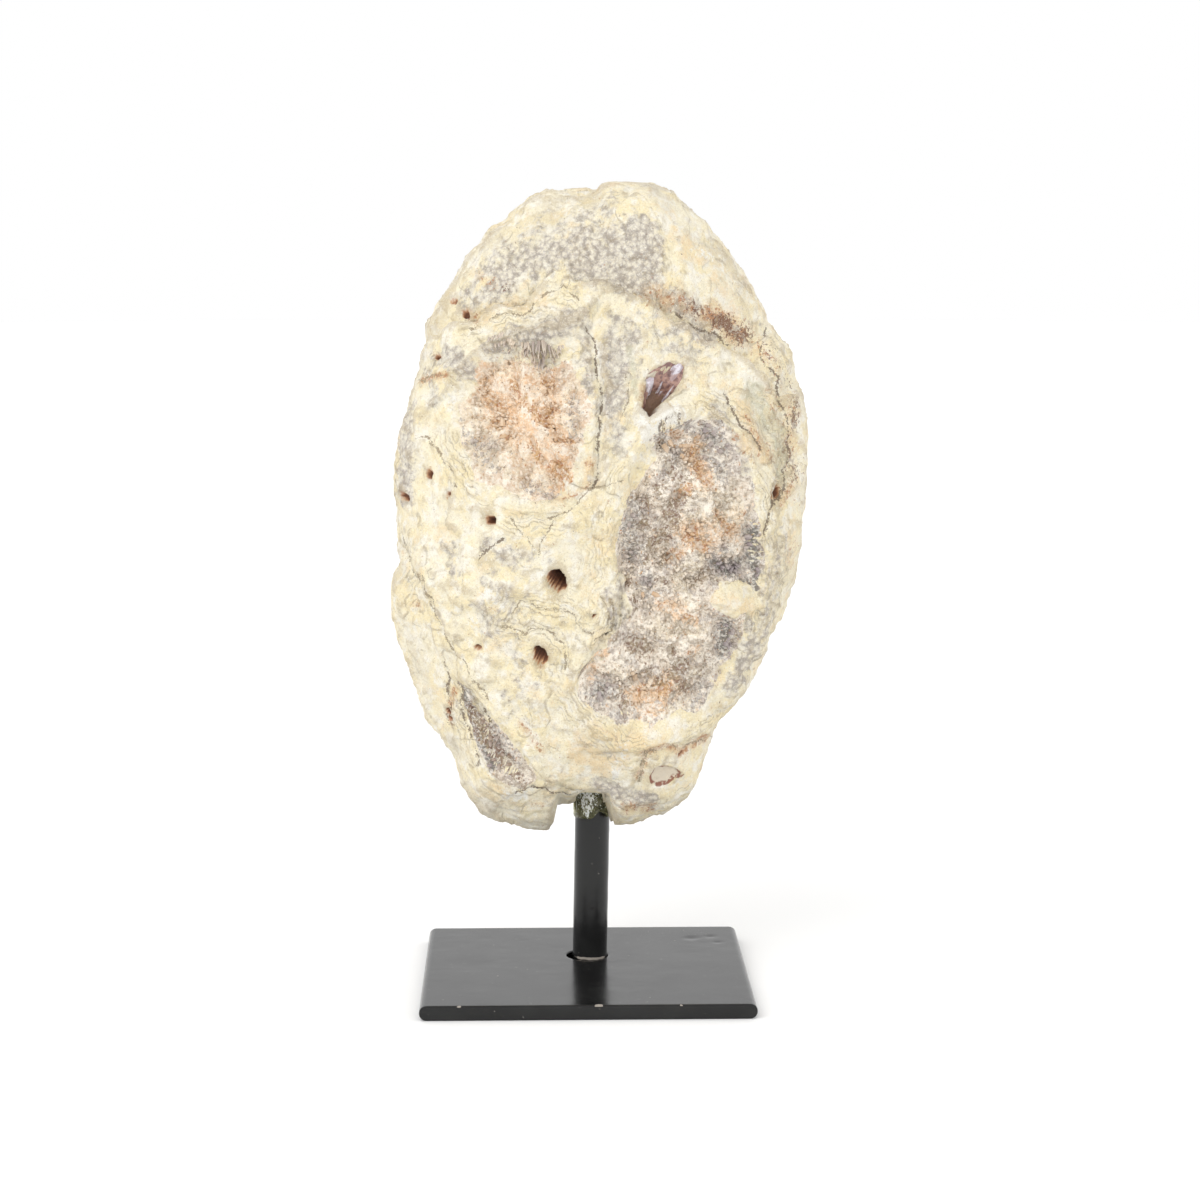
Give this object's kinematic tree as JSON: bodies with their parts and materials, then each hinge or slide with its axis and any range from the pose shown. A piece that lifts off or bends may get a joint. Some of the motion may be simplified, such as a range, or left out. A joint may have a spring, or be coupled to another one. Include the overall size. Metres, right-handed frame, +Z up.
{
  "type": "druzy agate on a post stand",
  "caption": "Lumpy agate stone with sparkling crystal fields and a small open vug, mounted upright on a round rod in a flat rectangular plate.",
  "frame": {"origin": "middle of the base plate's underside", "axes": "+Z up along the stone's longest extent, -Y out of the stone's face with the crystal fields"},
  "size_m": [0.1409, 0.1033, 0.2701],
  "materials": {
    "agate": "natural cream, yellow and grey agate with rust stains, matt to waxy",
    "vug_crystal": "small glossy brown-purple quartz crystals",
    "stand_paint": "black gloss paint, slightly worn at the edges",
    "clear_glue": "clear set resin glue with a frosted patch",
    "weld_metal": "weld bead under thin black paint"
  },
  "bodies": {
    "root": {"stone": "agate", "vug_crystals": "vug_crystal", "post": "stand_paint", "base_plate": "stand_paint", "adhesive": "clear_glue", "weld": "weld_metal"}
  },
  "joints": []
}
